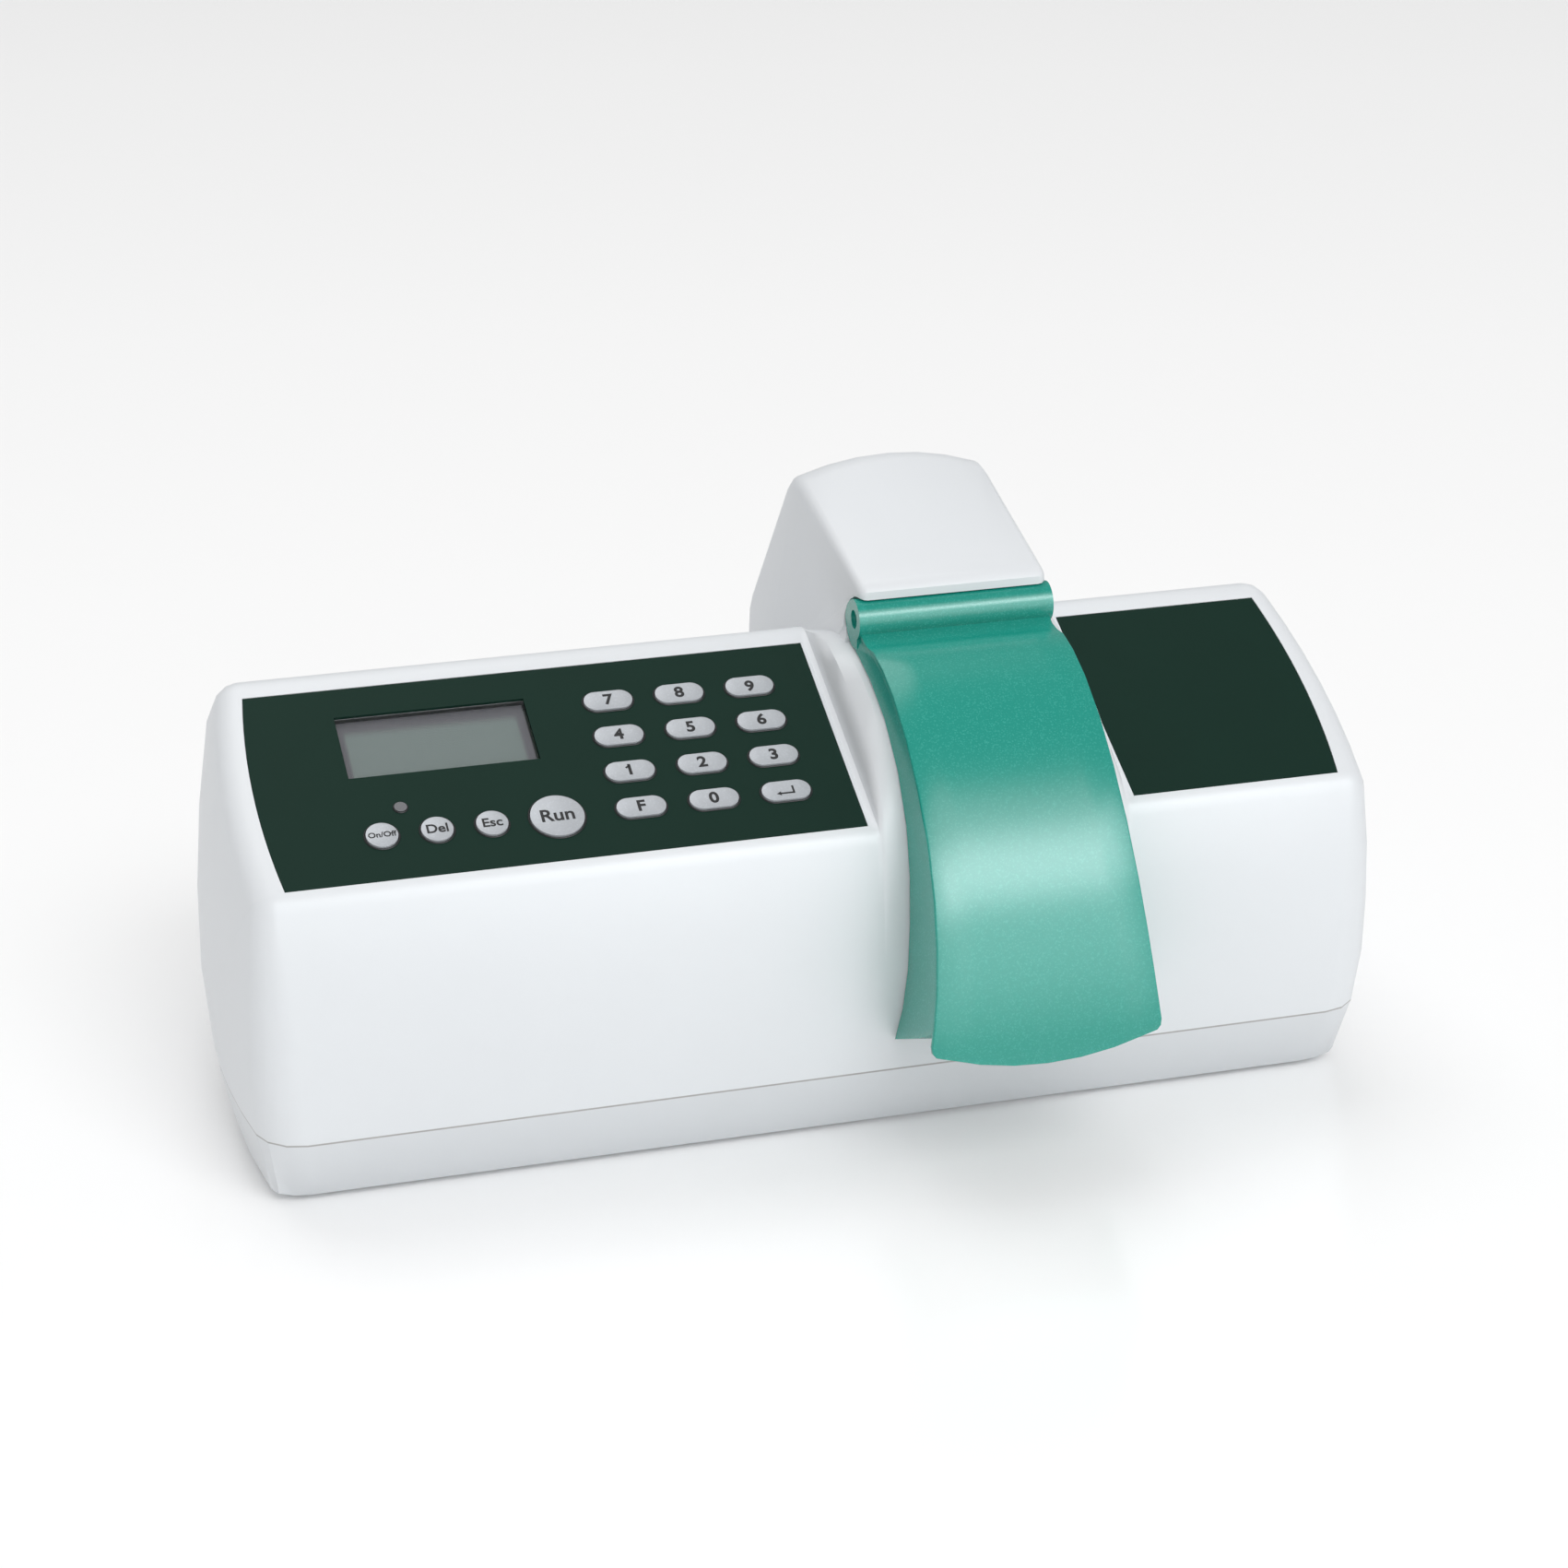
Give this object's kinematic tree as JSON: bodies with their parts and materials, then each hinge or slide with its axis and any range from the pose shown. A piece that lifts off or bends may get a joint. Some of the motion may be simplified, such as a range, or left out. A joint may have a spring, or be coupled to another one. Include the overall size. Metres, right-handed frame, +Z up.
{
  "type": "automated cell counter",
  "caption": "Benchtop cell counter with a sloping keypad and display panel, a raised rear tower and a hinged curved cover over the sample bay.",
  "frame": {"origin": "centre of the footprint on the bench, at the height of the feet", "axes": "+X to the right along the instrument's length, +Y towards the rear, +Z up"},
  "size_m": [0.381, 0.23, 0.1904],
  "materials": {
    "white_plastic": "satin",
    "grey_plastic": "satin",
    "cover_green": "pearl",
    "panel_green": "satin",
    "display_glass": "satin",
    "display_body": "matte",
    "key_silver": "satin",
    "lamp": "gloss",
    "circuit_board": "satin",
    "tray_black": "matte",
    "chassis_steel": "brushed",
    "bright_steel": "bright",
    "screw_steel": "bright",
    "magnet": "satin",
    "plunger_plastic": "satin",
    "motor_dark": "satin",
    "filter_glass": "gloss",
    "lens_black": "anodised",
    "ribbon_grey": "matte",
    "inlet_black": "satin",
    "foot_rubber": "matte"
  },
  "bodies": {
    "housing": {"lower_housing": "grey_plastic", "upper_housing": "white_plastic", "lid_sensor": "circuit_board", "control_panel": "panel_green", "right_plate": "panel_green", "display_window": "display_glass", "display_module": "display_body", "keypad_board": "circuit_board", "status_lamp": "lamp", "bay_tray": "tray_black", "chassis": "chassis_steel", "drive_bracket": "chassis_steel", "guide_rods": "bright_steel", "drive_motor": "motor_dark", "light_board": "circuit_board", "emission_filter": "filter_glass", "lens_barrel": "lens_black", "camera_board": "circuit_board", "main_board": "circuit_board", "board_screws": "screw_steel", "chassis_screws": "screw_steel", "keypad_ribbon": "ribbon_grey", "power_inlet": "inlet_black", "data_socket": "bright_steel", "rubber_feet": "foot_rubber", "base_screws": "screw_steel"},
    "lid": {"lid": "cover_green", "lid_hinge_pin": "bright_steel", "lid_magnet": "magnet"},
    "plunger": {"plunger": "plunger_plastic"},
    "lead_screw": {"lead_screw": "bright_steel"},
    "key_0": {"key_0": "key_silver"},
    "key_1": {"key_1": "key_silver"},
    "key_2": {"key_2": "key_silver"},
    "key_3": {"key_3": "key_silver"},
    "key_4": {"key_4": "key_silver"},
    "key_5": {"key_5": "key_silver"},
    "key_6": {"key_6": "key_silver"},
    "key_7": {"key_7": "key_silver"},
    "key_8": {"key_8": "key_silver"},
    "key_9": {"key_9": "key_silver"},
    "key_f": {"key_f": "key_silver"},
    "key_enter": {"key_enter": "key_silver"},
    "key_run": {"key_run": "key_silver"},
    "key_esc": {"key_esc": "key_silver"},
    "key_del": {"key_del": "key_silver"},
    "key_power": {"key_power": "key_silver"}
  },
  "joints": [
    {"name": "lid_hinge", "type": "hinge", "parent": "housing", "child": "lid", "pos_m": [0.0565, -0.013, 0.1578], "axis": [-1, 0, 0], "range_deg": [0, 95]},
    {"name": "screw_spin", "type": "hinge", "parent": "housing", "child": "lead_screw", "pos_m": [0.0565, -0.01222, 0.13797], "axis": [0, -0.9135, -0.4067], "range_deg": [0, 3240]},
    {"name": "plunger_slide", "type": "slide", "parent": "housing", "child": "plunger", "axis": [0, -0.9135, -0.4067], "range_m": [0, 0.018]},
    {"name": "key_0_press", "type": "slide", "parent": "housing", "child": "key_0", "axis": [0, 0.4067, -0.9135], "range_m": [0, 0.0006], "stiffness_N_per_m": 1200, "springref_m": -0.0002},
    {"name": "key_1_press", "type": "slide", "parent": "housing", "child": "key_1", "axis": [0, 0.4067, -0.9135], "range_m": [0, 0.0006], "stiffness_N_per_m": 1200, "springref_m": -0.0002},
    {"name": "key_2_press", "type": "slide", "parent": "housing", "child": "key_2", "axis": [0, 0.4067, -0.9135], "range_m": [0, 0.0006], "stiffness_N_per_m": 1200, "springref_m": -0.0002},
    {"name": "key_3_press", "type": "slide", "parent": "housing", "child": "key_3", "axis": [0, 0.4067, -0.9135], "range_m": [0, 0.0006], "stiffness_N_per_m": 1200, "springref_m": -0.0002},
    {"name": "key_4_press", "type": "slide", "parent": "housing", "child": "key_4", "axis": [0, 0.4067, -0.9135], "range_m": [0, 0.0006], "stiffness_N_per_m": 1200, "springref_m": -0.0002},
    {"name": "key_5_press", "type": "slide", "parent": "housing", "child": "key_5", "axis": [0, 0.4067, -0.9135], "range_m": [0, 0.0006], "stiffness_N_per_m": 1200, "springref_m": -0.0002},
    {"name": "key_6_press", "type": "slide", "parent": "housing", "child": "key_6", "axis": [0, 0.4067, -0.9135], "range_m": [0, 0.0006], "stiffness_N_per_m": 1200, "springref_m": -0.0002},
    {"name": "key_7_press", "type": "slide", "parent": "housing", "child": "key_7", "axis": [0, 0.4067, -0.9135], "range_m": [0, 0.0006], "stiffness_N_per_m": 1200, "springref_m": -0.0002},
    {"name": "key_8_press", "type": "slide", "parent": "housing", "child": "key_8", "axis": [0, 0.4067, -0.9135], "range_m": [0, 0.0006], "stiffness_N_per_m": 1200, "springref_m": -0.0002},
    {"name": "key_9_press", "type": "slide", "parent": "housing", "child": "key_9", "axis": [0, 0.4067, -0.9135], "range_m": [0, 0.0006], "stiffness_N_per_m": 1200, "springref_m": -0.0002},
    {"name": "key_f_press", "type": "slide", "parent": "housing", "child": "key_f", "axis": [0, 0.4067, -0.9135], "range_m": [0, 0.0006], "stiffness_N_per_m": 1200, "springref_m": -0.0002},
    {"name": "key_enter_press", "type": "slide", "parent": "housing", "child": "key_enter", "axis": [0, 0.4067, -0.9135], "range_m": [0, 0.0006], "stiffness_N_per_m": 1200, "springref_m": -0.0002},
    {"name": "key_run_press", "type": "slide", "parent": "housing", "child": "key_run", "axis": [0, 0.4067, -0.9135], "range_m": [0, 0.0006], "stiffness_N_per_m": 1200, "springref_m": -0.0002},
    {"name": "key_esc_press", "type": "slide", "parent": "housing", "child": "key_esc", "axis": [0, 0.4067, -0.9135], "range_m": [0, 0.0006], "stiffness_N_per_m": 1200, "springref_m": -0.0002},
    {"name": "key_del_press", "type": "slide", "parent": "housing", "child": "key_del", "axis": [0, 0.4067, -0.9135], "range_m": [0, 0.0006], "stiffness_N_per_m": 1200, "springref_m": -0.0002},
    {"name": "key_power_press", "type": "slide", "parent": "housing", "child": "key_power", "axis": [0, 0.4067, -0.9135], "range_m": [0, 0.0006], "stiffness_N_per_m": 1200, "springref_m": -0.0002}
  ],
  "couplings": [
    {"joint": "screw_spin", "follows": "plunger_slide", "rad_per_m": 3141.6}
  ]
}
